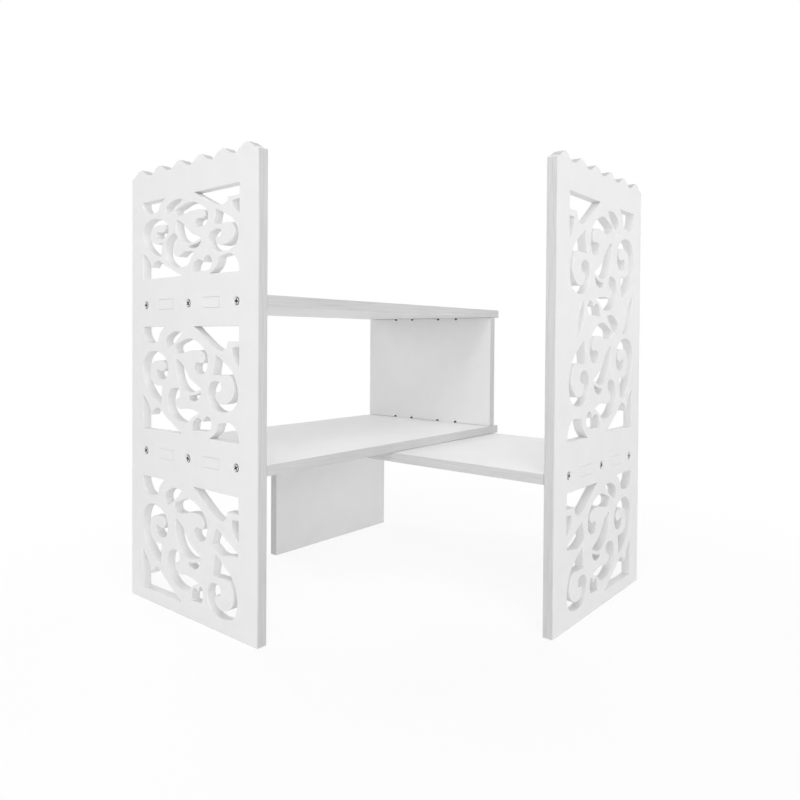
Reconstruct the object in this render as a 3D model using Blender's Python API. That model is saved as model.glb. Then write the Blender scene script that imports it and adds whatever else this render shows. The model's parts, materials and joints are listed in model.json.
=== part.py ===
"""Desktop organizer shelf: two screwed board units whose shelves cross and swivel on each other.

Lengths are in millimetres and become metres when a mesh is made.  X runs along the
upper unit's shelves, Y along the lower unit's shelf and Z up from the desk.
"""
import math

import bmesh
import bpy
import numpy as np
from mathutils import Vector
from mathutils.geometry import delaunay_2d_cdt

MM = 0.001

# Boards
BOARD = 8.0                   # thickness of every board
DEPTH = 170.0                 # front to back of every board
SHELF_LENGTH = 317.0          # side panel's inner face to the shelf's free end
UPRIGHT_HEIGHT = 114.2        # divider and leg, without their tenons
UPRIGHT_SETBACK = 8.0         # upright's outer face to the shelf's free end
PANEL_HEIGHT = 358.0          # desk to the dips of the wavy top
WAVE_HEIGHT = 6.3
WAVE_COUNT = 6

# How the units cross: the upper shelves' free ends pass the lower unit's back edges,
# and the lower shelf's free end passes the upper unit's back edges
UPPER_OVERHANG = 6.0
LOWER_OVERHANG = 0.8

# Joints between boards
CLEARANCE = 0.3
TENON_WIDTH = 21.0
RELIEF_RADIUS = 1.5           # round relief cut beside each tenon
SCREW_FRONT_MARGIN = 26.0     # front edge to the first screw
SCREW_BACK_MARGIN = 22.0      # last screw to the back edge
SCREW_LENGTH = 24.0
SCREW_TIP = 3.0
SHANK_RADIUS = 1.5
HEAD_RADIUS = 3.2
RECESS_ARM = 1.75             # cross recess, middle to the end of an arm
RECESS_WIDTH = 1.0
RECESS_DEPTH = 1.1
RECESS_TAPER = 0.5            # recess floor size over its mouth size
HEAD_SIDES = 16
SHANK_SIDES = 8

# Pierced windows: margins to the panel's edges and to the shelves behind it
WINDOW_FRONT_MARGIN = 22.5
WINDOW_BACK_MARGIN = 17.5
WINDOW_FOOT_MARGIN = 10.0
WINDOW_CREST_MARGIN = 22.0
LEFT_LOW_MARGIN = 17.5        # low window to the middle shelf
LEFT_MIDDLE_MARGIN = 14.3     # middle window to both shelves
LEFT_TOP_MARGIN = 17.8        # top window to the top shelf
RIGHT_LOW_MARGIN = 9.3        # low window to the lower shelf
RIGHT_TALL_MARGIN = 22.0      # tall window to the lower shelf
MOTIF_OVERLAP = 16.4          # how far the tall window's two motifs reach into each other

# The scroll motif is drawn once on a sheet of this size.  Its u runs from the
# window's front edge to its back edge and its v from the bottom to the top.
SHEET_WIDTH = 132.0
SHEET_HEIGHT = 87.0

# Strokes: (u, v, half width) along the middle of a cut, from its first end to its last
BACK_SCROLL = [
    (103.5, 30.5, 7.8), (112.0, 32.0, 6.2), (121.5, 37.8, 4.8), (126.0, 45.5, 5.4),
    (125.5, 55.5, 5.9), (119.0, 61.4, 4.9), (109.5, 62.3, 3.7), (100.5, 60.4, 2.1),
    (95.6, 54.5, 1.8), (98.3, 47.8, 3.1), (104.3, 46.6, 3.4), (108.6, 48.3, 3.0)]
UPPER_SCROLL = [
    (80.0, 69.3, 3.6), (74.5, 70.0, 4.6), (65.0, 72.4, 4.9), (55.0, 71.9, 3.7),
    (46.8, 69.2, 2.0), (41.9, 64.3, 1.7), (41.6, 58.5, 2.6), (45.0, 54.4, 4.0), (52.5, 54.3, 4.2)]
LOWER_SCROLL = [
    (80.5, 33.0, 4.2), (87.2, 30.8, 5.4), (89.0, 25.0, 5.8), (86.0, 19.8, 5.4),
    (78.0, 15.7, 5.0), (67.5, 15.9, 5.6), (60.0, 18.0, 3.2), (50.0, 18.8, 0.0)]
RAISED_SCROLL = [
    (86.3, 41.5, 5.6), (90.3, 37.0, 6.2), (92.6, 30.0, 6.2), (91.5, 23.5, 6.2), (86.5, 18.3, 5.6),
    (78.0, 15.4, 5.8), (68.0, 19.2, 7.4), (62.0, 22.6, 3.0), (55.8, 23.6, 0.0)]
FRONT_SCROLL = [
    (30.5, 57.3, 8.0), (20.0, 54.8, 5.2), (10.0, 51.5, 2.2), (4.9, 43.8, 1.8),
    (3.6, 36.8, 2.3), (7.0, 29.2, 3.4), (16.2, 25.0, 3.0), (26.3, 25.7, 3.2),
    (32.4, 30.0, 4.0), (34.0, 36.0, 4.9), (31.0, 40.2, 4.4), (25.6, 40.6, 3.9)]
LONG_LEAF = [
    (80.3, 58.2, 2.4), (77.2, 53.2, 5.4), (72.6, 46.2, 6.9), (66.5, 41.0, 6.1),
    (58.0, 38.8, 4.1), (47.0, 38.2, 0.0)]
SMALL_LEAF = [(63.0, 30.4, 1.3), (57.0, 30.2, 2.2), (51.5, 32.0, 1.7), (47.8, 35.2, 0.0)]
DROP = [(93.2, 74.4, 4.6), (87.5, 77.3, 4.7), (80.5, 80.0, 3.3), (73.5, 82.3, 0.0)]
FRONT_BLADE = [(30.7, 56.0, 6.8), (20.0, 51.3, 6.9), (11.0, 49.9, 4.2), (0.8, 48.2, 1.4)]
FRONT_LINK = [(27.7, 92.4, 0.0), (25.3, 85.0, 3.3), (21.5, 76.7, 3.6), (15.5, 66.8, 0.0)]
BACK_LINK = [(131.0, 100.0, 0.0), (126.0, 91.0, 3.0), (121.5, 81.0, 4.0), (115.5, 73.8, 3.0),
             (107.5, 70.2, 0.0)]

# Outlines: (u, v, is a corner); the curve runs smoothly through the other points
TOP_BACK_CORNER = [
    (132.0, 87.0, True), (99.0, 87.0, True), (105.5, 82.0, False), (108.8, 74.5, True),
    (117.0, 73.3, False), (124.6, 74.4, False), (131.0, 81.0, False)]
TOP_FRONT_CORNER = [
    (57.5, 87.0, True), (0.0, 87.0, True), (0.0, 75.5, True), (13.5, 75.5, True),
    (15.0, 71.2, False), (20.0, 68.3, False), (26.0, 69.0, False), (42.0, 77.2, False)]
FRONT_NOTCH = [(0.0, 71.3, True), (8.3, 70.8, True), (7.8, 64.0, False), (0.0, 56.8, True)]
BOTTOM_BACK_CORNER = [
    (132.0, 0.0, True), (74.0, 0.4, True), (86.0, 6.8, False), (99.0, 14.0, False),
    (109.0, 19.2, False), (116.8, 15.6, False), (118.5, 12.7, True), (123.6, 22.0, False),
    (132.0, 29.0, True)]
BOTTOM_CURL = [
    (60.0, 4.6, True), (46.0, 5.4, False), (37.0, 6.3, False), (33.7, 11.5, False),
    (38.0, 17.0, False), (43.2, 15.5, False), (45.0, 12.5, True), (52.0, 14.8, False),
    (58.0, 11.5, False)]
BOTTOM_FRONT_CORNER = [
    (36.5, 0.0, True), (0.0, 0.0, True), (0.0, 3.0, True), (7.3, 12.8, True),
    (25.0, 12.8, True), (27.8, 6.6, False)]

FRONT_SCROLL_DROP = 21.4      # how much lower the front scroll sits in the low windows
CURL_BACK = 60.0              # the low windows' curl is narrowed towards this u
CURL_NARROWING = 0.6
CURL_LEVEL = 11.0             # the top window's curl is stretched about this v
TOP_STRETCH = 1.3
SQUEEZE_LINE = 25.0           # below this v the tall window's upper motif is squeezed
SQUEEZE = 0.82

SPAN_STEPS = 2                # steps between two stations of a stroke
CAP_STEPS = 4                 # steps round a stroke's round end
ARC_STEPS = 4                 # steps round a relief cut
WAVE_STEPS = 8                # steps along one wave of the panel's top
CURVE_TOLERANCE = 0.35        # an outline's curve gets a point between when it bows more

# Colour, roughness and metallic value
BOARD_FINISH = ((0.86, 0.86, 0.85), 0.55, 0.0)
SCREW_FINISH = ((0.55, 0.55, 0.56), 0.35, 1.0)

# Levels from the desk up: the upper unit's middle shelf lies on the lower shelf
LOWER_SHELF_BASE = UPRIGHT_HEIGHT + CLEARANCE
MIDDLE_SHELF_BASE = LOWER_SHELF_BASE + BOARD + CLEARANCE
DIVIDER_BASE = MIDDLE_SHELF_BASE + BOARD + CLEARANCE
TOP_SHELF_BASE = DIVIDER_BASE + UPRIGHT_HEIGHT + CLEARANCE

# Stations across the depth: a screw, a tenon, a screw, a tenon, a screw
SCREW_BACK = DEPTH - SCREW_BACK_MARGIN
SCREW_MIDDLE = (SCREW_FRONT_MARGIN + SCREW_BACK) / 2
SCREW_STATIONS = {"front": SCREW_FRONT_MARGIN, "middle": SCREW_MIDDLE, "rear": SCREW_BACK}
TENON_STATIONS = [(SCREW_FRONT_MARGIN + SCREW_MIDDLE) / 2, (SCREW_MIDDLE + SCREW_BACK) / 2]

SHOULDER = BOARD + CLEARANCE  # side panel's outer face to the shelf's shoulder, and a tenon's length
UPRIGHT_PLACE = SHELF_LENGTH - UPRIGHT_SETBACK - BOARD   # shoulder to the upright's inner face
HOLE_RADIUS = SHANK_RADIUS + CLEARANCE
SINK_RADIUS = HEAD_RADIUS + CLEARANCE * math.sqrt(2)
BORE_DEPTH = SCREW_LENGTH - SHOULDER + CLEARANCE

# Where the lower unit stands, seen from the upper unit's front left corner
UNIT_LENGTH = SHOULDER + SHELF_LENGTH
LOWER_FRONT = UNIT_LENGTH - UPPER_OVERHANG - DEPTH   # along X to the lower unit's front edges
LOWER_REACH = UNIT_LENGTH - LOWER_OVERHANG - DEPTH   # along -Y to the right panel's outer face

# The part's middle on the desk is the origin
SPAN_X = max(UNIT_LENGTH, LOWER_FRONT + DEPTH)
SPAN_Y = max(DEPTH, UNIT_LENGTH - LOWER_REACH) + LOWER_REACH
CENTRE = Vector((SPAN_X / 2, SPAN_Y / 2 - LOWER_REACH, 0))
PIVOT = Vector((LOWER_FRONT + DEPTH / 2, DEPTH / 2, MIDDLE_SHELF_BASE)) - CENTRE

X_AXIS = Vector((1, 0, 0))
Y_AXIS = Vector((0, 1, 0))
Z_AXIS = Vector((0, 0, 1))


def curve_point(start, end, start_way, end_way, share):
    """Point on the smooth curve between two points that leaves and arrives along unit ways."""
    span = np.linalg.norm(end[:2] - start[:2])
    first = start * (1 + 2 * share) * (1 - share) ** 2
    last = end * share ** 2 * (3 - 2 * share)
    leave = start_way * span * share * (1 - share) ** 2
    arrive = end_way * span * share ** 2 * (1 - share)
    return first + last + leave - arrive


def unit(step):
    """Step per millimetre of travel on the sheet."""
    return step / max(np.linalg.norm(step[:2]), 1e-9)


def stroke(stations, flat_start=False, flat_end=False):
    """Closed loop round a stroke of changing width, with round, flat or pointed ends."""
    points = [np.array(station) for station in stations]
    last = len(points) - 1
    ways = [unit(points[min(i + 1, last)] - points[max(i - 1, 0)]) for i in range(last + 1)]
    middle = [points[0]]
    for i in range(last):
        for step in range(1, SPAN_STEPS + 1):
            share = step / SPAN_STEPS
            middle.append(curve_point(points[i], points[i + 1], ways[i], ways[i + 1], share))
    left = []
    right = []
    for i, place in enumerate(middle):
        ahead = middle[min(i + 1, len(middle) - 1)]
        behind = middle[max(i - 1, 0)]
        way = unit(ahead[:2] - behind[:2])
        side = np.array((-way[1], way[0])) * place[2]
        left.append(place[:2] + side)
        right.append(place[:2] - side)
    finish = end_points(left[-1], right[-1], flat_end)
    begin = end_points(right[0], left[0], flat_start)
    loop = begin + left[1:-1] + finish + right[-2:0:-1]
    return [(float(u), float(v)) for u, v in loop]


def end_points(first, last, flat):
    """Points of a stroke's end from one side to the other: a point, a flat cut or a half circle."""
    centre = (first + last) / 2
    arm = first - centre
    if np.linalg.norm(arm) < 0.05:
        return [centre]
    if flat:
        return [first, last]
    points = []
    for step in range(CAP_STEPS + 1):
        angle = -math.pi * step / CAP_STEPS
        turned = (arm[0] * math.cos(angle) - arm[1] * math.sin(angle),
                  arm[0] * math.sin(angle) + arm[1] * math.cos(angle))
        points.append(centre + np.array(turned))
    return points


def outline(points):
    """Closed loop through points, smooth except at its corners."""
    places = [np.array(point[:2]) for point in points]
    corners = [point[2] for point in points]
    count = len(points)
    loop = []
    for i in range(count):
        after = (i + 1) % count
        start = places[i]
        end = places[after]
        chord = unit(end - start)
        start_way = chord if corners[i] else unit(end - places[i - 1])
        end_way = chord if corners[after] else unit(places[(i + 2) % count] - start)
        loop.append(start)
        bend = curve_point(start, end, start_way, end_way, 0.5)
        bow = np.linalg.norm(bend - (start + end) / 2)
        if bow > CURVE_TOLERANCE:
            parts = 3 if bow > 3 * CURVE_TOLERANCE else 2
            for part in range(1, parts):
                loop.append(curve_point(start, end, start_way, end_way, part / parts))
    return [(float(u), float(v)) for u, v in loop]


def lowered(stations, drop):
    """The same stroke, further down the sheet."""
    return [(u, v - drop, half) for u, v, half in stations]


def squeezed(loop):
    """The same loop with its part near the sheet's bottom pushed up."""
    return [(u, v if v > SQUEEZE_LINE else SQUEEZE_LINE - SQUEEZE * (SQUEEZE_LINE - v)) for u, v in loop]


def narrowed(points):
    """The same outline, narrowed towards its back."""
    return [(CURL_BACK - CURL_NARROWING * (CURL_BACK - u), v, corner) for u, v, corner in points]


def stretched(points, level):
    """The same outline, taller above and below a level."""
    return [(u, level + TOP_STRETCH * (v - level), corner) for u, v, corner in points]


def common_cuts(lower_scroll=LOWER_SCROLL):
    """Cuts that every repeat of the motif has."""
    return [stroke(BACK_SCROLL, flat_start=True), stroke(UPPER_SCROLL), stroke(lower_scroll),
            stroke(LONG_LEAF), stroke(SMALL_LEAF), stroke(DROP)]


def middle_motif():
    """Motif of the left panel's middle window."""
    corners = [TOP_BACK_CORNER, TOP_FRONT_CORNER, FRONT_NOTCH, BOTTOM_BACK_CORNER, BOTTOM_FRONT_CORNER,
               BOTTOM_CURL]
    return common_cuts() + [stroke(FRONT_SCROLL, flat_start=True)] + [outline(c) for c in corners]


def top_motif():
    """Motif of the left panel's top window, whose low cuts stand taller on the flatter sheet."""
    corners = [TOP_BACK_CORNER, TOP_FRONT_CORNER, FRONT_NOTCH, BOTTOM_BACK_CORNER,
               stretched(BOTTOM_FRONT_CORNER, 0.0), stretched(BOTTOM_CURL, CURL_LEVEL)]
    cuts = common_cuts(RAISED_SCROLL) + [stroke(FRONT_SCROLL, flat_start=True)]
    return cuts + [outline(c) for c in corners]


def low_motif():
    """Motif of the low windows: the front scroll sits at the bottom with a blade above it."""
    corners = [TOP_BACK_CORNER, TOP_FRONT_CORNER, FRONT_NOTCH, BOTTOM_BACK_CORNER, narrowed(BOTTOM_CURL)]
    front = [stroke(lowered(FRONT_SCROLL, FRONT_SCROLL_DROP), flat_start=True),
             stroke(FRONT_BLADE, flat_start=True, flat_end=True)]
    return common_cuts() + front + [outline(c) for c in corners]


def tall_upper_motif():
    """Upper motif of the tall window, squeezed where the lower one reaches into it."""
    corners = [TOP_BACK_CORNER, TOP_FRONT_CORNER, FRONT_NOTCH, BOTTOM_CURL]
    cuts = common_cuts() + [stroke(FRONT_SCROLL, flat_start=True)] + [outline(c) for c in corners]
    return [squeezed(cut) for cut in cuts]


def tall_lower_motif():
    """Lower motif of the tall window, with the two slim cuts that link it to the upper one."""
    corners = [BOTTOM_BACK_CORNER, BOTTOM_FRONT_CORNER, BOTTOM_CURL]
    links = [stroke(FRONT_LINK), stroke(BACK_LINK)]
    return common_cuts() + [stroke(FRONT_SCROLL, flat_start=True)] + links + [outline(c) for c in corners]


def on_panel(cuts, bottom, top):
    """Cuts moved from the sheet to the panel, between two levels."""
    wide = (DEPTH - WINDOW_FRONT_MARGIN - WINDOW_BACK_MARGIN) / SHEET_WIDTH
    tall = (top - bottom) / SHEET_HEIGHT
    return [[(WINDOW_FRONT_MARGIN + u * wide, bottom + v * tall) for u, v in cut] for cut in cuts]


def circle(centre, radius, sides):
    """Points round a centre."""
    turns = [2 * math.pi * i / sides for i in range(sides)]
    return [(centre[0] + radius * math.cos(t), centre[1] + radius * math.sin(t)) for t in turns]


def rectangle(low, high):
    """Corners of an upright rectangle."""
    return [(low[0], low[1]), (high[0], low[1]), (high[0], high[1]), (low[0], high[1])]


def straight_hole(loop):
    """A hole as rings of (height in the board, loop): the same loop on both faces."""
    return [(0.0, loop), (BOARD, loop)]


def screw_hole(centre, sunk_at_top):
    """A countersunk hole, its wide end on the board's top or bottom face."""
    wide = circle(centre, SINK_RADIUS, HEAD_SIDES)
    narrow = circle(centre, HOLE_RADIUS, HEAD_SIDES)
    sink = SINK_RADIUS - HOLE_RADIUS
    if sunk_at_top:
        return [(0.0, narrow), (BOARD - sink, narrow), (BOARD, wide)]
    return [(0.0, wide), (sink, narrow), (BOARD, narrow)]


def mortise(low, high):
    """A through slot for a tenon that fills the given rectangle."""
    grow = CLEARANCE
    return straight_hole(rectangle((low[0] - grow, low[1] - grow), (high[0] + grow, high[1] + grow)))


def tenon_edge(start, along, outward):
    """Points of an edge with two tenons and round relief cuts beside them, after its start point."""
    start = np.array(start, float)
    along = np.array(along, float)
    outward = np.array(outward, float)
    sites = TENON_STATIONS if along.sum() > 0 else [DEPTH - s for s in reversed(TENON_STATIONS)]
    points = []
    for site in sites:
        near = site - TENON_WIDTH / 2
        far = site + TENON_WIDTH / 2
        for middle in (near - RELIEF_RADIUS, far + RELIEF_RADIUS):
            if middle > far:
                points.append(start + along * near + outward * SHOULDER)
                points.append(start + along * far + outward * SHOULDER)
            for step in range(ARC_STEPS + 1):
                angle = math.pi * step / ARC_STEPS
                reach = middle - RELIEF_RADIUS * math.cos(angle)
                points.append(start + along * reach - outward * RELIEF_RADIUS * math.sin(angle))
    return [(float(a), float(b)) for a, b in points]


def filled(loops):
    """Triangles, as indices into the joined loops, between the first loop and the ones inside it."""
    points = [point for loop in loops for point in loop]
    edges = []
    for loop in loops:
        base = len(edges)
        edges += [(base + i, base + (i + 1) % len(loop)) for i in range(len(loop))]
    result = delaunay_2d_cdt([Vector(p) for p in points], edges, [], 1, 1e-6)
    places, faces, sources = result[0], result[2], result[3]
    ends = np.array([points[a] + points[b] for a, b in edges])
    triangles = []
    for face in faces:
        x, y = sum((places[i] for i in face), Vector((0, 0))) / len(face)
        across = (ends[:, 1] > y) != (ends[:, 3] > y)
        x1, y1, x2, y2 = ends[across].T
        crossings = np.count_nonzero(x1 + (y - y1) / (y2 - y1) * (x2 - x1) > x)
        if crossings % 2:
            triangles.append([sources[i][0] for i in face])
    return triangles


def bored_wall(mesh, corners, inward, bores):
    """One wall of a board with blind screw bores; corners run along the bottom, then back along the top."""
    length = (corners[1].co - corners[0].co).length / MM
    along = (corners[1].co - corners[0].co).normalized()
    up = (corners[3].co - corners[0].co).normalized()
    loops = [rectangle((0, 0), (length, BOARD))]
    verts = list(corners)
    for place in bores:
        loop = circle((place, BOARD / 2), HOLE_RADIUS, SHANK_SIDES)
        loops.append(loop)
        mouth = [mesh.verts.new(corners[0].co + (along * a + up * b) * MM) for a, b in loop]
        floor = [mesh.verts.new(vert.co + inward * BORE_DEPTH * MM) for vert in mouth]
        tip_place = along * place + up * BOARD / 2 + inward * (BORE_DEPTH + HOLE_RADIUS)
        tip = mesh.verts.new(corners[0].co + tip_place * MM)
        for i in range(SHANK_SIDES):
            after = (i + 1) % SHANK_SIDES
            mesh.faces.new((mouth[i], mouth[after], floor[after], floor[i]))
            mesh.faces.new((floor[i], floor[after], tip))
        verts += mouth
    for triangle in filled(loops):
        mesh.faces.new([verts[i] for i in triangle])


def bores_on(start, end, bores):
    """Distances from a wall's start to the bores that lie on it."""
    start = np.array(start)
    end = np.array(end)
    length = np.linalg.norm(end - start)
    way = (end - start) / length
    found = []
    for bore in bores:
        reach = np.array(bore) - start
        place = reach @ way
        if abs(reach[0] * way[1] - reach[1] * way[0]) < 0.01 and 0 < place < length:
            found.append(float(place))
    return found


def add_object(name, mesh, unit_empty, place, finish):
    """Finish a mesh as a named object under its unit's empty."""
    bmesh.ops.recalc_face_normals(mesh, faces=mesh.faces)
    data = bpy.data.meshes.new(name)
    mesh.to_mesh(data)
    mesh.free()
    data.materials.append(finish)
    thing = bpy.data.objects.new(name, data)
    bpy.context.collection.objects.link(thing)
    thing.parent = unit_empty
    thing.location = place * MM - unit_empty.location
    return thing


def board(name, edge, holes, bores, frame, unit_empty, finish):
    """A flat board: an outline with holes through it and blind bores in its edges.

    The frame is the board's corner and its ways along, across and up; the outline is counter-clockwise.
    """
    corner, along, across, up = frame
    mesh = bmesh.new()
    pieces = [straight_hole(edge)] + holes
    rings = []
    for piece in pieces:
        rings.append([[mesh.verts.new((along * a + across * b + up * height) * MM) for a, b in loop]
                      for height, loop in piece])
    for end in (0, -1):
        verts = [vert for ring in rings for vert in ring[end]]
        for triangle in filled([piece[end][1] for piece in pieces]):
            mesh.faces.new([verts[i] for i in triangle])
    for number, stack in enumerate(rings):
        for low, high in zip(stack, stack[1:]):
            for i in range(len(low)):
                after = (i + 1) % len(low)
                wall = (low[i], low[after], high[after], high[i])
                found = bores_on(edge[i], edge[after], bores) if number == 0 else []
                if found:
                    step = np.array(edge[after]) - np.array(edge[i])
                    inward = (along * -step[1] + across * step[0]).normalized()
                    bored_wall(mesh, wall, inward, found)
                else:
                    mesh.faces.new(wall)
    return add_object(name, mesh, unit_empty, corner, finish)


def side_panel(name, shelf_bases, windows, frame, unit_empty, finish):
    """A side panel: straight foot and edges, wavy top, pierced windows, mortises and screw holes."""
    steps = WAVE_COUNT * WAVE_STEPS
    edge = [(0.0, 0.0), (DEPTH, 0.0)]
    for i in range(steps, -1, -1):
        rise = WAVE_HEIGHT * (1 - math.cos(2 * math.pi * i / WAVE_STEPS)) / 2
        edge.append((DEPTH * i / steps, PANEL_HEIGHT + rise))
    holes = [straight_hole(loop) for loop in windows]
    for base in shelf_bases:
        for site in TENON_STATIONS:
            half = TENON_WIDTH / 2
            holes.append(mortise((site - half, base), (site + half, base + BOARD)))
        for site in SCREW_STATIONS.values():
            holes.append(screw_hole((site, base + BOARD / 2), sunk_at_top=True))
    return board(name, edge, holes, [], frame, unit_empty, finish)


def shelf(name, sunk_at_top, frame, unit_empty, finish):
    """A shelf: two tenons on its panel end, two mortises and three screw holes for its upright."""
    edge = [(0.0, 0.0), (SHELF_LENGTH, 0.0), (SHELF_LENGTH, DEPTH), (0.0, DEPTH)]
    edge += tenon_edge((0.0, DEPTH), (0, -1), (-1, 0))
    holes = []
    for site in TENON_STATIONS:
        half = TENON_WIDTH / 2
        holes.append(mortise((UPRIGHT_PLACE, site - half), (UPRIGHT_PLACE + BOARD, site + half)))
    for site in SCREW_STATIONS.values():
        holes.append(screw_hole((UPRIGHT_PLACE + BOARD / 2, site), sunk_at_top))
    bores = [(0.0, site) for site in SCREW_STATIONS.values()]
    return board(name, edge, holes, bores, frame, unit_empty, finish)


def upright(name, tenons_below, frame, unit_empty, finish):
    """A divider or leg: tenons and screw bores on its top edge, and on its bottom edge if asked for."""
    edge = [(0.0, 0.0)]
    if tenons_below:
        edge += tenon_edge((0.0, 0.0), (1, 0), (0, -1))
    edge += [(DEPTH, 0.0), (DEPTH, UPRIGHT_HEIGHT)]
    edge += tenon_edge((DEPTH, UPRIGHT_HEIGHT), (-1, 0), (0, 1))
    edge.append((0.0, UPRIGHT_HEIGHT))
    bores = [(site, UPRIGHT_HEIGHT) for site in SCREW_STATIONS.values()]
    if tenons_below:
        bores += [(site, 0.0) for site in SCREW_STATIONS.values()]
    return board(name, edge, [], bores, frame, unit_empty, finish)


def screw(name, place, way, unit_empty, finish):
    """A countersunk cross-recess screw whose head lies flush at its place and points along way."""
    mesh = bmesh.new()
    head = circle((0, 0), HEAD_RADIUS, HEAD_SIDES)
    arm = RECESS_ARM
    half = RECESS_WIDTH / 2
    quarter = [(arm, -half), (arm, half), (half, half)]
    cross = []
    for turn in range(4):
        c = round(math.cos(turn * math.pi / 2))
        s = round(math.sin(turn * math.pi / 2))
        cross += [(a * c - b * s, a * s + b * c) for a, b in quarter]
    floor_loop = [(a * RECESS_TAPER, b * RECESS_TAPER) for a, b in cross]

    def ring(loop, level):
        return [mesh.verts.new(Vector((a, b, level)) * MM) for a, b in loop]

    def join(upper, lower):
        for i in range(len(upper)):
            after = (i + 1) % len(upper)
            mesh.faces.new((upper[i], upper[after], lower[after], lower[i]))

    rim = ring(head, 0)
    mouth = ring(cross, 0)
    floor = ring(floor_loop, -RECESS_DEPTH)
    neck_level = SHANK_RADIUS - HEAD_RADIUS
    neck = ring(circle((0, 0), SHANK_RADIUS, HEAD_SIDES), neck_level)
    taper = ring(circle((0, 0), SHANK_RADIUS, HEAD_SIDES), SCREW_TIP - SCREW_LENGTH)
    tip = mesh.verts.new(Vector((0, 0, -SCREW_LENGTH)) * MM)
    top = rim + mouth
    for triangle in filled([head, cross]):
        mesh.faces.new([top[i] for i in triangle])
    for triangle in filled([floor_loop]):
        mesh.faces.new([floor[i] for i in triangle])
    join(mouth, floor)
    join(rim, neck)
    join(neck, taper)
    for i in range(HEAD_SIDES):
        mesh.faces.new((taper[i], taper[(i + 1) % HEAD_SIDES], tip))
    thing = add_object(name, mesh, unit_empty, place, finish)
    thing.rotation_euler = (-way).to_track_quat("Z", "Y").to_euler()
    return thing


def screw_row(name, corner, across, way, unit_empty, finish):
    """Three screws in a row across the depth, from a corner on the row's line."""
    for label, site in SCREW_STATIONS.items():
        screw(f"{name}_{label}", corner + across * site, way, unit_empty, finish)


def add_material(name, finish):
    """A plain material of one colour."""
    colour, roughness, metallic = finish
    material = bpy.data.materials.new(name)
    material.use_nodes = True
    shader = material.node_tree.nodes["Principled BSDF"]
    shader.inputs["Base Color"].default_value = (*colour, 1.0)
    shader.inputs["Roughness"].default_value = roughness
    shader.inputs["Metallic"].default_value = metallic
    return material


def add_empty(name, place):
    """An empty that carries one unit."""
    empty = bpy.data.objects.new(name, None)
    bpy.context.collection.objects.link(empty)
    empty.location = place * MM
    return empty


def build_upper_unit(board_finish, screw_finish):
    """Left panel, top and middle shelf and divider, carried by an empty on the swivel axis."""
    carrier = add_empty("upper_unit", PIVOT)
    panel_corner = BOARD * X_AXIS - CENTRE
    middle_top = MIDDLE_SHELF_BASE + BOARD
    top_top = TOP_SHELF_BASE + BOARD
    low = (WINDOW_FOOT_MARGIN, MIDDLE_SHELF_BASE - LEFT_LOW_MARGIN)
    middle = (middle_top + LEFT_MIDDLE_MARGIN, TOP_SHELF_BASE - LEFT_MIDDLE_MARGIN)
    top = (top_top + LEFT_TOP_MARGIN, PANEL_HEIGHT - WINDOW_CREST_MARGIN)
    windows = on_panel(low_motif(), *low) + on_panel(middle_motif(), *middle) + on_panel(top_motif(), *top)
    side_panel("left_side_panel", [MIDDLE_SHELF_BASE, TOP_SHELF_BASE], windows,
               (panel_corner, Y_AXIS, Z_AXIS, -X_AXIS), carrier, board_finish)

    for name, base in (("top_shelf", TOP_SHELF_BASE), ("middle_shelf", MIDDLE_SHELF_BASE)):
        corner = Vector((SHOULDER, 0, base)) - CENTRE
        shelf(name, name == "top_shelf", (corner, X_AXIS, Y_AXIS, Z_AXIS), carrier, board_finish)
        row = Vector((0, 0, base + BOARD / 2)) - CENTRE
        screw_row(f"{name}_screw", row, Y_AXIS, X_AXIS, carrier, screw_finish)

    corner = Vector((SHOULDER + UPRIGHT_PLACE + BOARD, 0, DIVIDER_BASE)) - CENTRE
    upright("divider_panel", True, (corner, Y_AXIS, Z_AXIS, -X_AXIS), carrier, board_finish)
    line = Vector((SHOULDER + UPRIGHT_PLACE + BOARD / 2, 0, 0)) - CENTRE
    screw_row("divider_top_screw", line + Z_AXIS * top_top, Y_AXIS, -Z_AXIS, carrier, screw_finish)
    screw_row("divider_bottom_screw", line + Z_AXIS * MIDDLE_SHELF_BASE, Y_AXIS, Z_AXIS, carrier, screw_finish)


def build_lower_unit(board_finish, screw_finish):
    """Right panel, lower shelf and leg, which stand on the desk."""
    carrier = add_empty("lower_unit", Vector((0, 0, 0)))
    front = Vector((LOWER_FRONT, -LOWER_REACH, 0)) - CENTRE
    shelf_top = LOWER_SHELF_BASE + BOARD
    low = (WINDOW_FOOT_MARGIN, LOWER_SHELF_BASE - RIGHT_LOW_MARGIN)
    tall_bottom = shelf_top + RIGHT_TALL_MARGIN
    tall_top = PANEL_HEIGHT - WINDOW_CREST_MARGIN
    motif_height = (tall_top - tall_bottom + MOTIF_OVERLAP) / 2
    windows = on_panel(low_motif(), *low)
    windows += on_panel(tall_lower_motif(), tall_bottom, tall_bottom + motif_height)
    windows += on_panel(tall_upper_motif(), tall_top - motif_height, tall_top)
    side_panel("right_side_panel", [LOWER_SHELF_BASE], windows,
               (front + BOARD * Y_AXIS, X_AXIS, Z_AXIS, -Y_AXIS), carrier, board_finish)

    corner = front + Vector((0, SHOULDER, LOWER_SHELF_BASE))
    shelf("lower_shelf", True, (corner, Y_AXIS, X_AXIS, Z_AXIS), carrier, board_finish)
    row = front + Z_AXIS * (LOWER_SHELF_BASE + BOARD / 2)
    screw_row("lower_shelf_screw", row, X_AXIS, Y_AXIS, carrier, screw_finish)

    corner = front + Vector((0, SHOULDER + UPRIGHT_PLACE + BOARD, 0))
    upright("leg_panel", False, (corner, X_AXIS, Z_AXIS, -Y_AXIS), carrier, board_finish)
    line = front + Vector((0, SHOULDER + UPRIGHT_PLACE + BOARD / 2, shelf_top))
    screw_row("leg_screw", line, X_AXIS, -Z_AXIS, carrier, screw_finish)


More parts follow.
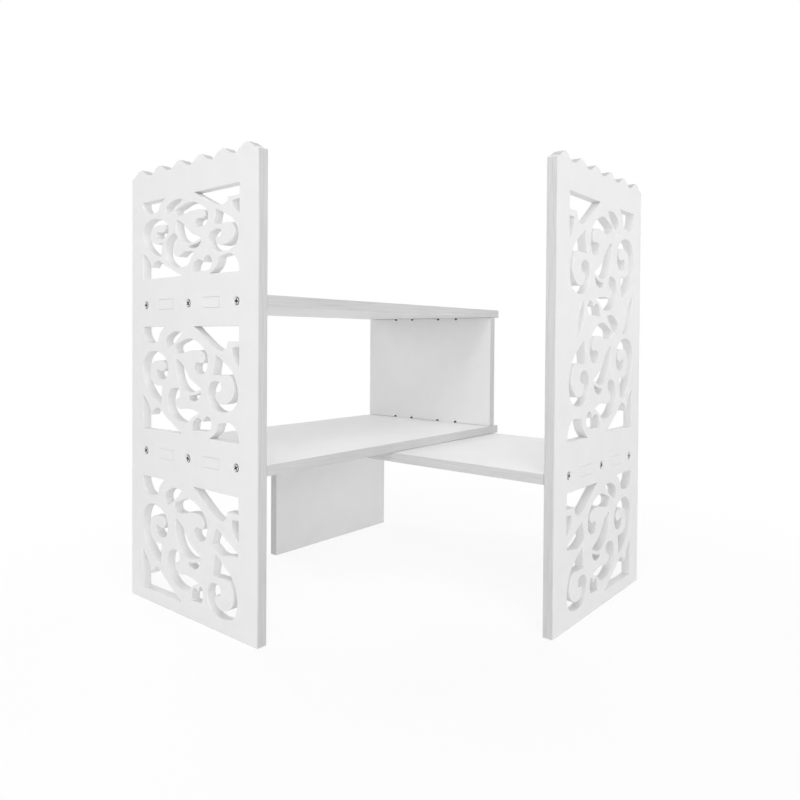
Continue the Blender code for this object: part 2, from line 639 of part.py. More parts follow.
def main():
    """Clear the scene and build both units."""
    for thing in list(bpy.data.objects):
        bpy.data.objects.remove(thing)
    board_finish = add_material("white_board", BOARD_FINISH)
    screw_finish = add_material("zinc_steel", SCREW_FINISH)
    build_upper_unit(board_finish, screw_finish)
    build_lower_unit(board_finish, screw_finish)


main()
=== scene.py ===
"""Looks for the desktop organizer shelf: boards, screws, a white studio and the photograph's camera.

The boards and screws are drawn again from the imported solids, in millimetres, with smooth
curves, rounded arrises and cut edges of their own, and become metres when a mesh is made.
"""

import json
import math

import bpy
import numpy as np
from mathutils import Matrix, Vector
from mathutils.geometry import delaunay_2d_cdt


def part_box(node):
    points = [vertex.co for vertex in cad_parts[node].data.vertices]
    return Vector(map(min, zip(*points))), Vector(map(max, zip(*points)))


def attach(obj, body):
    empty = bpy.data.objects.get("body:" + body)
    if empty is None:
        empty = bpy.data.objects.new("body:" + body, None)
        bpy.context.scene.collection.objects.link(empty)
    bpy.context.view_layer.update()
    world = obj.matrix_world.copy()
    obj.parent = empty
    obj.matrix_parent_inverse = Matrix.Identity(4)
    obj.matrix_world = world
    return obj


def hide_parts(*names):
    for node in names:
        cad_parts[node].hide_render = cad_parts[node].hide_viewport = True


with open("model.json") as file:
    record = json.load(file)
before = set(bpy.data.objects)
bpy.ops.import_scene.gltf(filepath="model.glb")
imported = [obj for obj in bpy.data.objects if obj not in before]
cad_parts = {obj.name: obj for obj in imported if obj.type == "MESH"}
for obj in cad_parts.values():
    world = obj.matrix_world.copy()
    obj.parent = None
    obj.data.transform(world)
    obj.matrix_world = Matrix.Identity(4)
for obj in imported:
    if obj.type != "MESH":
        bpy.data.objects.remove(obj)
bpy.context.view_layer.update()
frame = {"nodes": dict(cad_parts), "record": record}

MM = 0.001
WHITE = (1, 1, 1, 1)

# Camera in metres, degrees and millimetres of film, fitted to the board corners in the photograph
CAMERA_PLACE = (-0.47905, -0.39623, 0.22277)
CAMERA_YAW = 39.4175
CAMERA_PITCH = -0.8874
CAMERA_ROLL = 0.3697
CAMERA_SENSOR = 36.0
CAMERA_LENS = 31.1295
CAMERA_SHIFT = (0.00239, -0.06334)
CAMERA_NEAR = 0.01            # nearest distance that it sees

# Reading the solids and filling faces
PLACE_DECIMALS = 3            # vertices that agree to this many are one
LEVEL_TOLERANCE = 0.002       # a vertex this near a face's level lies on that face
SINK_DIFFERENCE = 0.5         # a hole whose ends differ by more is countersunk
SHORTEST_STEP = 1e-9          # keeps a step of no length from dividing by zero
INSIDE_ONLY = 1               # the triangulation's mode that leaves out what lies outside the loops
MERGE_DISTANCE = 1e-6

# Boards
ARRIS = 0.45                  # rounding along every free edge
JOINT_ARRIS = 0.25            # the same where two boards meet
ARRIS_TURNS = (90, 45, 0)     # stations round an arris, from the face to the wall
CROWDED_SHARE = 0.8           # an arris whose inner end is nearer to a wall than this share of it shrinks
SHRINK = 0.7
SHRINK_TRIES = 9
MITRE_LIMIT = 0.5             # keeps a mitre at a sharp point from growing past twice its arris
CORNER = 0.7                  # rounding of a board's own corners
CORNER_PARTS = 5
JOINT_REACH = 0.4             # a point this near another board is part of a joint
RELIEF_REACH = 2.2            # a cut this near one, and no part of the joint, relieves a tenon's corner
MORTISE_CLOSING = 0.2         # how much of the solids' clearance a mortise takes up
CURVE_SAG = 0.03              # how far a drawn curve may lie off the true one
SHARP_TURN = 65.0             # a loop's point that turns more is a corner
LONE_TURN = 33.0              # so is one that turns more than this and far more than its neighbours
LONE_SHARE = 1.8
STRAIGHT_RUN = 8.0            # an outer edge that runs straight for longer is sawn
FACE, SAWN, ROUTED, RELIEF = range(4)  # material slots of a board

# Screws
SCREW_SIDES = 40
SCREW_TURN = 2.4              # turn from one screw's recess to the next one's, in radians
SINK_ARRIS = 0.15
HEAD_DEPTH = 0.3              # head below the board's face
HEAD_CHAMFER = 0.6
RECESS_ARM = 2.0
RECESS_WIDTH = 1.15
RECESS_DEPTH = 1.3
RECESS_TAPER = 0.45           # size of the recess's floor as a share of its mouth
RECESS_LEAN = 0.3             # how far the normals of its walls lean up
POINT_LENGTH = 3.0
POINT_FLAT = 0.2
STEEL, RECESS = range(2)      # material slots of a screw; the second is near black, painted shade for the recess and the head's rim

# Finishes: a noise varies each between a dark and a light tone and between two values of roughness
FACE_TONES = (0.845, 0.865)
FACE_ROUGHNESS = (0.46, 0.56)
# sawn edges: the cut core's own grey, darkened further as painted shade for the dimmer light on them
SAWN_AND_SHADE_TONES = (0.58, 0.68)
ROUTED_TONES = (0.8, 0.86)
RELIEF_SHADE_TONES = (0.03, 0.08)   # painted shade: the narrow deep cuts are white board, made near black for the shade inside them
CUT_ROUGHNESS = (0.58, 0.7)
STEEL_COLOURS = ((0.66, 0.66, 0.67), (0.78, 0.78, 0.79))
STEEL_ROUGHNESS = (0.2, 0.32)
# painted shade: the recess and the head's rim are the same zinc steel, made near black for the shade in
# them
RECESS_SHADE_COLOURS = ((0.02, 0.02, 0.02), (0.06, 0.06, 0.06))
RECESS_ROUGHNESS = (0.4, 0.5)
NOISE_SPAN = (0.3, 0.7)       # values between which a noise mostly lies
MOTTLE = (55, 4)              # scale per metre and detail of a noise
GRAIN = (1900, 2)
POLISH = (2600, 3)
LINES = (1, 3)                # the same for cut lines, on a place that is stretched already
LINES_ALONG = 28.0
LINES_ACROSS = 1500.0
GRAIN_RELIEF = (0.12, 0.00008)  # strength of a bump and its depth in metres
LINES_RELIEF = (0.25, 0.0001)
POLISH_RELIEF = (0.1, 0.00005)

# Studio
LAMP_DISTANCE = 1.4
LAMP_AIM = (0.0, 0.0, 0.18)
LAMPS = (                     # name, azimuth and elevation in degrees, side in metres, watts
    ("right_rear_lamp", 0, 18, 0.9, 7.0),
    ("left_rear_lamp", 90, 22, 0.9, 10.0),
    ("left_front_lamp", 190, 12, 0.9, 2.9),
    ("low_front_lamp", 232, 9, 0.5, 4.2),
    ("high_front_lamp", 220, 55, 0.9, 6.8),
    ("right_front_lamp", 310, 6, 0.9, 2.6),
)
AMBIENT = 0.3
FLOOR_REACH = 4.0             # half the floor's width, in metres
FLOOR_ALBEDO = 0.92           # what the floor throws back at the part
SHADOW_ALBEDO = 0.95          # what the camera sees of it, with its shadow
SHADOW_WHITENESS = 0.85       # how white it looks under the part, and all white far from it
SHADOW_REACH = (0.25, 0.7)    # distance from the origin over which it whitens, in metres

# Bodies, boards and screws of the frame
bodies = frame["record"]["behaviour"]["bodies"]
body_of = {node: body for body, nodes in bodies.items() for node in nodes}
boards = sorted(node for node in body_of if "screw" not in node)
screws = sorted(node for node in body_of if "screw" in node)
board_boxes = {node: [np.array(corner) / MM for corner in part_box(node)] for node in boards}


def unit(step):
    """The same step with a length of one."""
    return step / max(np.linalg.norm(step), SHORTEST_STEP)


def right_of(step):
    """Step turned a quarter turn to the right."""
    return np.array((step[1], -step[0]))


def passing_way(one, other):
    """Way of a smooth curve through a point between two chords, of which the shorter counts more."""
    return unit(unit(one) / np.linalg.norm(one) + unit(other) / np.linalg.norm(other))


def curve_point(start, end, start_way, end_way, share):
    """Point on the smooth curve between two points that leaves and arrives along unit ways."""
    span = np.linalg.norm(end - start)
    first = start * (1 + 2 * share) * (1 - share) ** 2
    last = end * share ** 2 * (3 - 2 * share)
    leave = start_way * span * share * (1 - share) ** 2
    arrive = end_way * span * share ** 2 * (1 - share)
    return first + last + leave - arrive


def board_axis(node):
    """The axis that a board is thin along."""
    low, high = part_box(node)
    return int(np.argmin(np.array(high) - np.array(low)))


def face_loops(node, axis, level):
    """Loops round one flat face of a board in its two other axes, seen from the high side.

    Round the high face they keep the board on their left, and round the low one on their right.
    """
    mesh = frame["nodes"][node].data
    places = np.round(np.array([vert.co for vert in mesh.vertices]) / MM, PLACE_DECIMALS)
    places, index = np.unique(places, axis=0, return_inverse=True)
    index = index.reshape(-1)
    edges = set()
    for polygon in mesh.polygons:
        corners = [int(index[i]) for i in polygon.vertices]
        if all(abs(places[i][axis] - level) < LEVEL_TOLERANCE for i in corners):
            edges.update(zip(corners, corners[1:] + corners[:1]))
    onward = {start: end for start, end in edges if (end, start) not in edges}
    plane = [(axis + 1) % 3, (axis + 2) % 3]
    loops = []
    while onward:
        start = min(onward)
        loop = [start]
        after = onward.pop(start)
        while after != start:
            loop.append(after)
            after = onward.pop(after)
        loops.append(places[loop][:, plane])
    return loops


def loop_size(loop):
    """Width and height of a loop, added up."""
    return np.ptp(loop, axis=0).sum()


def turns(loop):
    """How far a loop turns at each of its points, in degrees, leftwards positive."""
    step = np.roll(loop, -1, 0) - loop
    heading = np.degrees(np.arctan2(step[:, 1], step[:, 0]))
    return (heading - np.roll(heading, 1) + 180) % 360 - 180


def is_corner(loop):
    """Which points of a loop are corners, the others lying on a curve."""
    turn = np.abs(turns(loop))
    beside = np.maximum(np.roll(turn, 1), np.roll(turn, -1))
    return (turn > SHARP_TURN) | ((turn > LONE_TURN) & (turn > LONE_SHARE * beside))


def fine_loop(loop, rounded):
    """The loop with fine curves and the marked corners rounded, and which points are sharp."""
    corner = is_corner(loop)
    count = len(loop)
    points = []
    sharp = []
    for i in range(count):
        before = loop[i - 1]
        here = loop[i]
        after = loop[(i + 1) % count]
        beyond = loop[(i + 2) % count]
        if corner[i] and rounded[i]:
            start = here + unit(before - here) * CORNER
            end = here + unit(after - here) * CORNER
            for part in range(CORNER_PARTS + 1):
                share = part / CORNER_PARTS
                points.append(start * (1 - share) ** 2 + here * 2 * share * (1 - share) + end * share ** 2)
                sharp.append(False)
        else:
            points.append(here)
            sharp.append(bool(corner[i]))
        chord = after - here
        start_way = unit(chord)
        end_way = start_way
        if not corner[i]:
            start_way = passing_way(chord, here - before)
        if not corner[(i + 1) % count]:
            end_way = passing_way(chord, beyond - after)
        bow = np.linalg.norm(curve_point(here, after, start_way, end_way, 0.5) - (here + after) / 2)
        parts = math.ceil(math.sqrt(bow / CURVE_SAG)) if bow > CURVE_SAG else 1
        for part in range(1, parts):
            points.append(curve_point(here, after, start_way, end_way, part / parts))
            sharp.append(False)
    return np.array(points), sharp


def inward_ways(loop):
    """For each point, the way into the board that keeps its distance to both neighbouring walls."""
    walls = [-right_of(unit(after - here)) for here, after in zip(loop, np.roll(loop, -1, 0))]
    ways = []
    for i, wall in enumerate(walls):
        way = unit(wall + walls[i - 1])
        ways.append(way / max(way @ wall, MITRE_LIMIT))
    return np.array(ways)


def distance_to(loop, points):
    """Least distance of each point to the loop's segments."""
    start = loop[None]
    step = np.roll(loop, -1, 0)[None] - start
    reach = points[:, None] - start
    share = np.clip((reach * step).sum(2) / (step * step).sum(2), 0, 1)
    return np.linalg.norm(reach - step * share[..., None], axis=2).min(1)


def arris_sizes(loop, ways, tight):
    """Arris at each point: full size, except in joints and where the board is too narrow for it."""
    sizes = np.where(tight, JOINT_ARRIS, ARRIS)
    for _ in range(SHRINK_TRIES):
        crowded = distance_to(loop, loop + ways * sizes[:, None]) < CROWDED_SHARE * sizes
        sizes = np.where(crowded, sizes * SHRINK, sizes)
    return sizes


def filled(loops):
    """Triangles, as indices into the joined loops, between the first loop and the ones inside it."""
    points = np.concatenate(loops)
    edges = []
    for loop in loops:
        base = len(edges)
        edges += [(base + i, base + (i + 1) % len(loop)) for i in range(len(loop))]
    result = delaunay_2d_cdt([Vector(point) for point in points], edges, [], INSIDE_ONLY, MERGE_DISTANCE)
    places, faces, sources = result[0], result[2], result[3]
    ends = np.array([np.concatenate((points[start], points[end])) for start, end in edges])
    triangles = []
    for face in faces:
        x, y = sum((places[i] for i in face), Vector((0, 0))) / len(face)
        across = (ends[:, 1] > y) != (ends[:, 3] > y)
        start_x, start_y, end_x, end_y = ends[across].T
        crossings = start_x + (y - start_y) / (end_y - start_y) * (end_x - start_x)
        if np.count_nonzero(crossings > x) % 2:
            triangles.append([sources[i][0] for i in face])
    return triangles


class Shape:
    """A mesh in the making: vertices, faces, their material slots, and a normal for each corner."""

    def __init__(self):
        self.places = []
        self.faces = []
        self.normals = []
        self.slots = []

    def add_ring(self, places):
        """Add vertices and return their indices."""
        first = len(self.places)
        self.places += [tuple(place) for place in places]
        return range(first, len(self.places))

    def add_face(self, corners, normals, slot):
        """Add a face with its corner normals and its material slot."""
        self.faces.append([int(i) for i in corners])
        self.normals += [tuple(normal) for normal in normals]
        self.slots.append(slot)

    def make(self, name, materials):
        """Turn the shape into a piece in metres."""
        mesh = bpy.data.meshes.new(name)
        mesh.from_pydata(np.array(self.places) * MM, [], self.faces, shade_flat=False)
        mesh.polygons.foreach_set("material_index", self.slots)
        for material in materials:
            mesh.materials.append(material)
        mesh.normals_split_custom_set(self.normals)
        mesh.update()
        piece = bpy.data.objects.new(name, mesh)
        bpy.context.scene.collection.objects.link(piece)
        return piece


def strip_quads(upper, lower):
    """Index, next index and corners of each face between two rings of vertices."""
    for i in range(len(upper)):
        after = (i + 1) % len(upper)
        yield i, after, (upper[i], lower[i], lower[after], upper[after])


def in_space(axis, flat, level):
    """Point or way in space from two coordinates in a board's plane and one along its thin axis."""
    place = [0.0, 0.0, 0.0]
    place[(axis + 1) % 3] = float(flat[0])
    place[(axis + 2) % 3] = float(flat[1])
    place[axis] = float(level)
    return place


def near_others(node, places, reach):
    """For each point of a board, whether it lies within reach of another board."""
    places = np.array(places)
    near = np.zeros(len(places), bool)
    for other, (low, high) in board_boxes.items():
        if other != node:
            near |= np.all((places > low - reach) & (places < high + reach), axis=1)
    return near


def wall_slots(node, axis, loop, level, inner):
    """Material slot of each segment's wall.

    Holes are routed, long straight outer edges sawn, and the cuts beside tenons are reliefs.
    Joints and the other outer walls are finished as the face is.
    """
    ends = np.roll(loop, -1, 0)
    runs = np.linalg.norm(ends - loop, axis=1)
    middles = [in_space(axis, point, level) for point in (loop + ends) / 2]
    slots = np.full(len(loop), ROUTED if inner else FACE)
    if not inner:
        # painted shade: the relief cuts beside the tenons get a near-black finish for the shade inside them
        slots[near_others(node, middles, RELIEF_REACH)] = RELIEF
        slots[runs > STRAIGHT_RUN] = SAWN
    slots[near_others(node, middles, JOINT_REACH)] = FACE
    return slots


def segment_walls(loop, sharp):
    """For each segment, the ways out of the board at its start and its end."""
    flat = [right_of(unit(after - here)) for here, after in zip(loop, np.roll(loop, -1, 0))]
    soft = [unit(flat[i] + flat[i - 1]) for i in range(len(flat))]
    walls = []
    for i, way in enumerate(flat):
        after = (i + 1) % len(flat)
        walls.append((way if sharp[i] else soft[i], way if sharp[after] else soft[after]))
    return walls


def arris_stations(loop, ways, sizes, low, high):
    """Loop, levels and tilt of the normals at each station down a wall, round both its arrises."""
    stations = []
    for sign, level, order in ((1, high, ARRIS_TURNS), (-1, low, ARRIS_TURNS[::-1])):
        for turn in order:
            across = sizes * (1 - math.cos(math.radians(turn)))
            along = sizes * (1 - math.sin(math.radians(turn)))
            stations.append((loop + ways * across[:, None], level - sign * along, sign * turn))
    return stations


def wall_strips(shape, axis, stations, walls, slots):
    """Faces between a wall's stations; returns its first and last ring of vertices."""
    rings = []
    for loop, levels, _ in stations:
        rings.append(shape.add_ring([in_space(axis, point, level) for point, level in zip(loop, levels)]))
    tilts = [math.radians(tilt) for _, _, tilt in stations]
    for upper in range(len(rings) - 1):
        lower = upper + 1
        for i, _, corners in strip_quads(rings[upper], rings[lower]):
            normals = []
            for ring, end in ((upper, 0), (lower, 0), (lower, 1), (upper, 1)):
                normals.append(in_space(axis, walls[i][end] * math.cos(tilts[ring]), math.sin(tilts[ring])))
            shape.add_face(corners, normals, slots[i])
    return rings[0], rings[-1]


def plain_wall(shape, node, axis, loop, low, high, inner):
    """The wall down one loop, with fine curves; returns its loops and vertices on both faces."""
    middle = (low + high) / 2
    joint = near_others(node, [in_space(axis, point, middle) for point in loop], JOINT_REACH)
    if inner and all(joint):
        loop = loop - inward_ways(loop) * MORTISE_CLOSING
    fine, sharp = fine_loop(loop, [not inner and not joined for joined in joint])
    tight = near_others(node, [in_space(axis, point, middle) for point in fine], JOINT_REACH)
    slots = wall_slots(node, axis, fine, middle, inner)
    ways = inward_ways(fine)
    stations = arris_stations(fine, ways, arris_sizes(fine, ways, tight), low, high)
    top_ring, bottom_ring = wall_strips(shape, axis, stations, segment_walls(fine, sharp), slots)
    return (stations[0][0], top_ring), (stations[-1][0], bottom_ring)


def sunk_hole(shape, axis, wide, narrow, low, high, wide_on_top):
    """A countersunk screw hole with crisp round rings; returns its loops and vertices on both faces."""
    centre = wide.mean(0)
    big = np.linalg.norm(wide - centre, axis=1).max()
    small = np.linalg.norm(narrow - centre, axis=1).max()
    angles = [-2 * math.pi * i / SCREW_SIDES for i in range(SCREW_SIDES)]
    rim = np.array([(math.cos(angle), math.sin(angle)) for angle in angles])
    profile = [
        (big + SINK_ARRIS, high),
        (big, high - SINK_ARRIS),
        (small, high - SINK_ARRIS - (big - small)),
        (small, low + SINK_ARRIS),
        (small + SINK_ARRIS, low),
    ]
    if not wide_on_top:
        profile = [(radius, low + high - level) for radius, level in reversed(profile)]
    loops = [centre + rim * radius for radius, _ in profile]
    rings = []
    for loop, (_, level) in zip(loops, profile):
        rings.append(shape.add_ring([in_space(axis, point, level) for point in loop]))
    for upper in range(len(rings) - 1):
        step = unit(np.array(profile[upper + 1]) - np.array(profile[upper]))
        for i, after, corners in strip_quads(rings[upper], rings[upper + 1]):
            normals = [in_space(axis, rim[j] * step[1], -step[0]) for j in (i, i, after, after)]
            shape.add_face(corners, normals, ROUTED)
    return (loops[0], rings[0]), (loops[-1], rings[-1])


def dressed_board(node, axis, finishes):
    """The board drawn again from its solid: fine curves, rounded arrises, edges in their own finish, with
    painted shade darkening the sawn edges and the relief cuts.
    """
    low, high = (corner[axis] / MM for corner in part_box(node))
    top_loops = sorted(face_loops(node, axis, high), key=loop_size, reverse=True)
    bottom_loops = face_loops(node, axis, low)
    shape = Shape()
    sides = ([], [])
    for number, loop in enumerate(top_loops):
        partner = min(bottom_loops, key=lambda other: np.linalg.norm(other.mean(0) - loop.mean(0)))
        growth = loop_size(loop) - loop_size(partner)
        if growth > SINK_DIFFERENCE:
            ends = sunk_hole(shape, axis, loop, partner, low, high, True)
        elif growth < -SINK_DIFFERENCE:
            ends = sunk_hole(shape, axis, partner, loop, low, high, False)
        else:
            ends = plain_wall(shape, node, axis, loop, low, high, number > 0)
        for side, end in zip(sides, ends):
            side.append(end)
    for sign, side in zip((1, -1), sides):
        verts = [vert for _, ring in side for vert in ring]
        normals = [in_space(axis, (0, 0), sign)] * 3
        for triangle in filled([loop for loop, _ in side]):
            shape.add_face([verts[i] for i in triangle[::sign]], normals, FACE)
    return shape.make(f"{node}_piece", finishes)


def ring_about(radius, level):
    """Points of a screw's ring."""
    angles = [2 * math.pi * i / SCREW_SIDES for i in range(SCREW_SIDES)]
    return [(radius * math.cos(angle), radius * math.sin(angle), level) for angle in angles]


def recess_outline():
    """Corners of the cross recess in a screw's head."""
    half = RECESS_WIDTH / 2
    arm = ((RECESS_ARM, -half), (RECESS_ARM, half), (half, half))
    quarters = ((1, 0), (0, 1), (-1, 0), (0, -1))
    return np.array([(x * cos - y * sin, x * sin + y * cos) for cos, sin in quarters for x, y in arm])


def measured_screw(node):
    """A screw's head place, the way it faces, its head's and shank's radius, and its length."""
    low, high = (np.array(corner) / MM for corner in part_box(node))
    axis = int(np.argmax(high - low))
    places = np.array([vert.co for vert in frame["nodes"][node].data.vertices]) / MM
    middle = (low + high) / 2
    away = np.linalg.norm(np.delete(places - middle, axis, 1), axis=1)
    shank = np.sort(away)[len(away) // 2]
    top = Vector(middle)
    top[axis] = places[np.argmax(away)][axis]
    way = Vector((0.0, 0.0, 0.0))
    way[axis] = 1.0 if top[axis] > middle[axis] else -1.0
    return top, way, away.max(), shank, (high - low)[axis]


def dressed_screw(node, turn, steel, recess):
    """The screw drawn again from its solid, its head up at the origin, and then turned into place."""
    top, way, head, shank, length = measured_screw(node)
    cross = recess_outline()
    cross_floor = cross * RECESS_TAPER
    profile = [
        (head - HEAD_CHAMFER, -HEAD_DEPTH),
        (head, -HEAD_DEPTH - HEAD_CHAMFER),
        (shank, -HEAD_DEPTH - HEAD_CHAMFER - head + shank),
        (shank, POINT_LENGTH - length),
        (POINT_FLAT, -length),
    ]
    shape = Shape()
    mouth_ring = shape.add_ring([(*point, -HEAD_DEPTH) for point in cross])
    floor_ring = shape.add_ring([(*point, -HEAD_DEPTH - RECESS_DEPTH) for point in cross_floor])
    rings = [shape.add_ring(ring_about(radius, level)) for radius, level in profile]
    rim = np.array(ring_about(head - HEAD_CHAMFER, 0))[:, :2]
    verts = [*rings[0], *mouth_ring]
    for triangle in filled([rim, cross]):
        shape.add_face([verts[i] for i in triangle], [(0, 0, 1)] * 3, STEEL)
    for triangle in filled([cross_floor]):
        shape.add_face([floor_ring[i] for i in triangle], [(0, 0, 1)] * 3, RECESS)
    for i in range(len(cross)):
        after = (i + 1) % len(cross)
        out = right_of(unit(cross[after] - cross[i]))
        corners = (mouth_ring[i], mouth_ring[after], floor_ring[after], floor_ring[i])
        shape.add_face(corners, [(-out[0], -out[1], RECESS_LEAN)] * 4, RECESS)
    ways_out = ring_about(1, 0)
    for upper in range(len(rings) - 1):
        step = unit(np.array(profile[upper + 1]) - np.array(profile[upper]))
        slot = STEEL if upper else RECESS  # painted shade: the head's chamfered rim takes the recess's near black, for the shade round the head
        for i, after, corners in strip_quads(rings[upper], rings[upper + 1]):
            outs = [ways_out[j] for j in (i, i, after, after)]
            shape.add_face(corners, [(-step[1] * x, -step[1] * y, step[0]) for x, y, _ in outs], slot)
    shape.add_face(rings[-1][::-1], [(0, 0, -1)] * SCREW_SIDES, STEEL)
    piece = shape.make(f"{node}_piece", [steel, recess])
    turned = way.to_track_quat("Z", "Y").to_matrix() @ Matrix.Rotation(turn, 3, "Z")
    piece.data.transform(Matrix.Translation(top * MM) @ turned.to_4x4())
    return piece


def blank_material(name):
    """A node material, its nodes, its links and its Principled shader."""
    material = bpy.data.materials.new(name)
    material.use_nodes = True
    tree = material.node_tree
    return material, tree.nodes, tree.links, tree.nodes["Principled BSDF"]


def stretched_place(nodes, links, scale):
    """Place on the piece in metres, stretched along its axes."""
    where = nodes.new("ShaderNodeTexCoord")
    mapping = nodes.new("ShaderNodeMapping")
    mapping.inputs["Scale"].default_value = scale
    links.new(where.outputs["Object"], mapping.inputs["Vector"])
    return mapping.outputs["Vector"]


def noise(nodes, links, place, scale, detail):
    """A noise texture over a mapped place."""
    texture = nodes.new("ShaderNodeTexNoise")
    texture.inputs["Scale"].default_value = scale
    texture.inputs["Detail"].default_value = detail
    links.new(place, texture.inputs["Vector"])
    return texture.outputs["Fac"]


def ranged(nodes, links, value, span, results, interpolation="LINEAR"):
    """A value that goes from one result to the other as the given one crosses a span."""
    spread = nodes.new("ShaderNodeMapRange")
    spread.interpolation_type = interpolation
    spread.inputs["From Min"].default_value = span[0]
    spread.inputs["From Max"].default_value = span[1]
    spread.inputs["To Min"].default_value = results[0]
    spread.inputs["To Max"].default_value = results[1]
    links.new(value, spread.inputs["Value"])
    return spread.outputs["Result"]


def toned(nodes, links, value, colours):
    """A colour between a dark and a light one by a noise value."""
    ramp = nodes.new("ShaderNodeValToRGB")
    for stop, position, colour in zip(ramp.color_ramp.elements, NOISE_SPAN, colours):
        stop.position = position
        stop.color = (*colour, 1)
    links.new(value, ramp.inputs["Fac"])
    return ramp.outputs["Color"]


def bumped(nodes, links, shader, value, strength, depth):
    """Fine relief on a shader from a noise value."""
    bump = nodes.new("ShaderNodeBump")
    bump.inputs["Strength"].default_value = strength
    bump.inputs["Distance"].default_value = depth
    links.new(value, bump.inputs["Height"])
    links.new(bump.outputs["Normal"], shader.inputs["Normal"])


def greys(tones):
    """A grey for each tone."""
    return [(tone, tone, tone) for tone in tones]


def board_face_material():
    """Satin white skin of the foamed board: a faint mottle and a fine pebbled grain."""
    material, nodes, links, shader = blank_material("white_board_face")
    place = stretched_place(nodes, links, (1, 1, 1))
    mottle = noise(nodes, links, place, *MOTTLE)
    grain = noise(nodes, links, place, *GRAIN)
    links.new(toned(nodes, links, mottle, greys(FACE_TONES)), shader.inputs["Base Color"])
    links.new(ranged(nodes, links, grain, NOISE_SPAN, FACE_ROUGHNESS), shader.inputs["Roughness"])
    bumped(nodes, links, shader, grain, *GRAIN_RELIEF)
    return material


def board_cut_material(name, axis, tones):
    """A cut wall of a board that is thin along an axis: matt, with fine lines that run along the cut."""
    material, nodes, links, shader = blank_material(f"white_board_{name}_{'xyz'[axis]}")
    scale = [LINES_ALONG, LINES_ALONG, LINES_ALONG]
    scale[axis] = LINES_ACROSS
    lines = noise(nodes, links, stretched_place(nodes, links, scale), *LINES)
    links.new(toned(nodes, links, lines, greys(tones)), shader.inputs["Base Color"])
    links.new(ranged(nodes, links, lines, NOISE_SPAN, CUT_ROUGHNESS), shader.inputs["Roughness"])
    bumped(nodes, links, shader, lines, *LINES_RELIEF)
    return material


def steel_material(name, colours, roughness):
    """Zinc-plated steel with a fine uneven polish."""
    material, nodes, links, shader = blank_material(name)
    shader.inputs["Metallic"].default_value = 1.0
    polish = noise(nodes, links, stretched_place(nodes, links, (1, 1, 1)), *POLISH)
    links.new(toned(nodes, links, polish, colours), shader.inputs["Base Color"])
    links.new(ranged(nodes, links, polish, NOISE_SPAN, roughness), shader.inputs["Roughness"])
    bumped(nodes, links, shader, polish, *POLISH_RELIEF)
    return material


def seen_share(nodes, links):
    """One where a ray comes from the camera, off a glossy surface or through glass, otherwise zero."""
    path = nodes.new("ShaderNodeLightPath")
    total = path.outputs["Is Camera Ray"]
    for name in ("Is Glossy Ray", "Is Transmission Ray"):
        add = nodes.new("ShaderNodeMath")
        add.operation = "ADD"
        add.use_clamp = True
        links.new(total, add.inputs[0])
        links.new(path.outputs[name], add.inputs[1])
        total = add.outputs["Value"]
    return total


def mixed(nodes, links, share, first, second):
    """A mix of two shaders by the second one's share."""
    mix = nodes.new("ShaderNodeMixShader")
    links.new(share, mix.inputs["Fac"])
    links.new(first, mix.inputs[1])
    links.new(second, mix.inputs[2])
    return mix.outputs["Shader"]


def background(nodes, strength):
    """A white background of some strength."""
    light = nodes.new("ShaderNodeBackground")
    light.inputs["Color"].default_value = WHITE
    light.inputs["Strength"].default_value = strength
    return light.outputs["Background"]


def set_world():
    """White surroundings that light the part softly from all sides."""
    world = bpy.data.worlds.new("studio")
    bpy.context.scene.world = world
    world.use_nodes = True
    nodes = world.node_tree.nodes
    links = world.node_tree.links
    nodes.remove(nodes["Background"])
    light = background(nodes, AMBIENT)
    seen = background(nodes, 1.0)
    shown = mixed(nodes, links, seen_share(nodes, links), light, seen)
    links.new(shown, nodes["World Output"].inputs["Surface"])


def diffuse(nodes, albedo):
    """A plain matt grey."""
    shader = nodes.new("ShaderNodeBsdfDiffuse")
    shader.inputs["Color"].default_value = (albedo, albedo, albedo, 1)
    return shader.outputs["BSDF"]


def floor_material():
    """White that keeps a soft shadow round the part and melts into the surroundings further off."""
    material, nodes, links, principled = blank_material("floor")
    nodes.remove(principled)
    white = nodes.new("ShaderNodeEmission")
    white.inputs["Color"].default_value = WHITE
    white.inputs["Strength"].default_value = 1.0
    away = nodes.new("ShaderNodeVectorMath")
    away.operation = "LENGTH"
    links.new(nodes.new("ShaderNodeTexCoord").outputs["Object"], away.inputs[0])
    whitening = (SHADOW_WHITENESS, 1.0)
    whiteness = ranged(nodes, links, away.outputs["Value"], SHADOW_REACH, whitening, "SMOOTHSTEP")
    seen = mixed(nodes, links, whiteness, diffuse(nodes, SHADOW_ALBEDO), white.outputs["Emission"])
    shown = mixed(nodes, links, seen_share(nodes, links), diffuse(nodes, FLOOR_ALBEDO), seen)
    links.new(shown, nodes["Material Output"].inputs["Surface"])
    return material


def add_floor():
    """A plain floor under the part."""
    mesh = bpy.data.meshes.new("floor")
    corners = [(x * FLOOR_REACH, y * FLOOR_REACH, 0) for x, y in ((-1, -1), (1, -1), (1, 1), (-1, 1))]
    mesh.from_pydata(corners, [], [(0, 1, 2, 3)])
    mesh.materials.append(floor_material())
    floor = bpy.data.objects.new("floor", mesh)
    bpy.context.scene.collection.objects.link(floor)


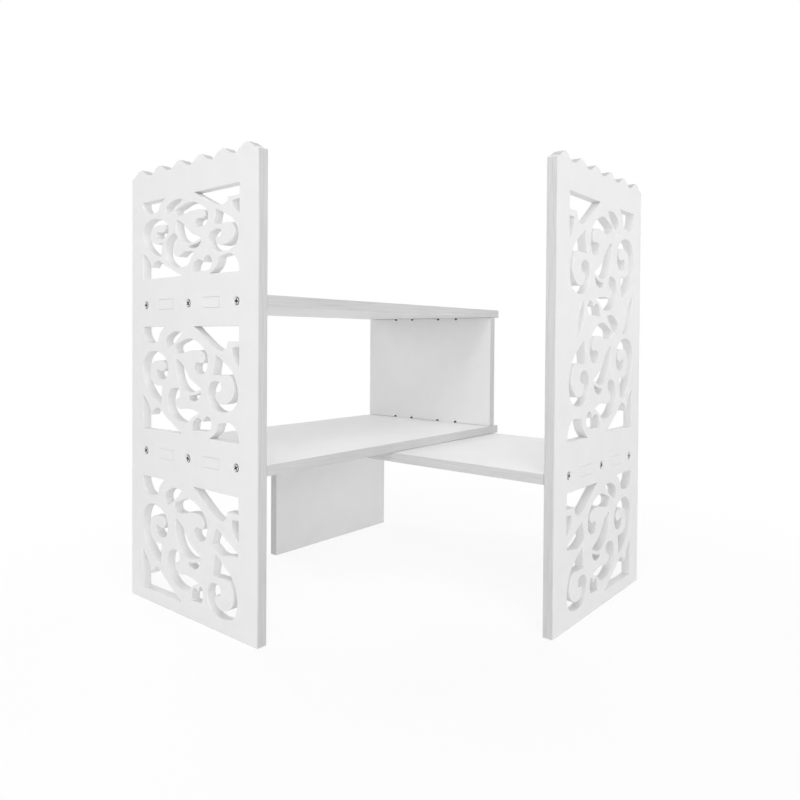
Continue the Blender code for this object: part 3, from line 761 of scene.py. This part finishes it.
def add_lamp(name, azimuth, elevation, size, power):
    """A square soft lamp on a sphere about the part, facing its middle."""
    turn = math.radians(azimuth)
    rise = math.radians(elevation)
    way = Vector((math.cos(turn) * math.cos(rise), math.sin(turn) * math.cos(rise), math.sin(rise)))
    data = bpy.data.lights.new(name, "AREA")
    data.shape = "SQUARE"
    data.size = size
    data.energy = power
    lamp = bpy.data.objects.new(name, data)
    lamp.location = Vector(LAMP_AIM) + way * LAMP_DISTANCE
    lamp.rotation_euler = way.to_track_quat("Z", "Y").to_euler()
    bpy.context.scene.collection.objects.link(lamp)


def add_camera():
    """The photograph's camera."""
    yaw, pitch, roll = (math.radians(angle) for angle in (CAMERA_YAW, CAMERA_PITCH, CAMERA_ROLL))
    ahead = Vector((math.cos(yaw) * math.cos(pitch), math.sin(yaw) * math.cos(pitch), math.sin(pitch)))
    right = Vector((math.sin(yaw), -math.cos(yaw), 0))
    up = right.cross(ahead)
    across = right * math.cos(roll) + up * math.sin(roll)
    above = up * math.cos(roll) - right * math.sin(roll)
    turned = Matrix((across, above, -ahead)).transposed()
    data = bpy.data.cameras.new("camera")
    data.sensor_width = CAMERA_SENSOR
    data.lens = CAMERA_LENS
    data.shift_x, data.shift_y = CAMERA_SHIFT
    data.clip_start = CAMERA_NEAR
    camera = bpy.data.objects.new("camera", data)
    camera.matrix_world = Matrix.Translation(CAMERA_PLACE) @ turned.to_4x4()
    bpy.context.scene.collection.objects.link(camera)
    bpy.context.scene.camera = camera


face_finish = board_face_material()
# the sawn edges' tones are partly their own grey and partly painted shade
sawn_and_shade_finishes = [board_cut_material("sawn_edge_and_shade", axis, SAWN_AND_SHADE_TONES) for axis in range(3)]
routed_finishes = [board_cut_material("routed_wall", axis, ROUTED_TONES) for axis in range(3)]
# painted shade: near-black tones on the relief cuts, which are white board in shade
relief_shade_finishes = [board_cut_material("relief_cut_painted_shade", axis, RELIEF_SHADE_TONES) for axis in range(3)]
steel_finish = steel_material("zinc_steel_head", STEEL_COLOURS, STEEL_ROUGHNESS)
# painted shade: the recess finish is near black for the shade in the recess and round the head
recess_shade_finish = steel_material("zinc_steel_recess_painted_shade", RECESS_SHADE_COLOURS, RECESS_ROUGHNESS)

for node in boards:
    axis = board_axis(node)
    finishes = [face_finish, sawn_and_shade_finishes[axis], routed_finishes[axis], relief_shade_finishes[axis]]
    piece = dressed_board(node, axis, finishes)
    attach(piece, body_of[node])
    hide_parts(node)
for number, node in enumerate(screws):
    piece = dressed_screw(node, number * SCREW_TURN, steel_finish, recess_shade_finish)
    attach(piece, body_of[node])
    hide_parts(node)

add_camera()
set_world()
add_floor()
for lamp in LAMPS:
    add_lamp(*lamp)
bpy.context.scene.view_settings.view_transform = "Standard"
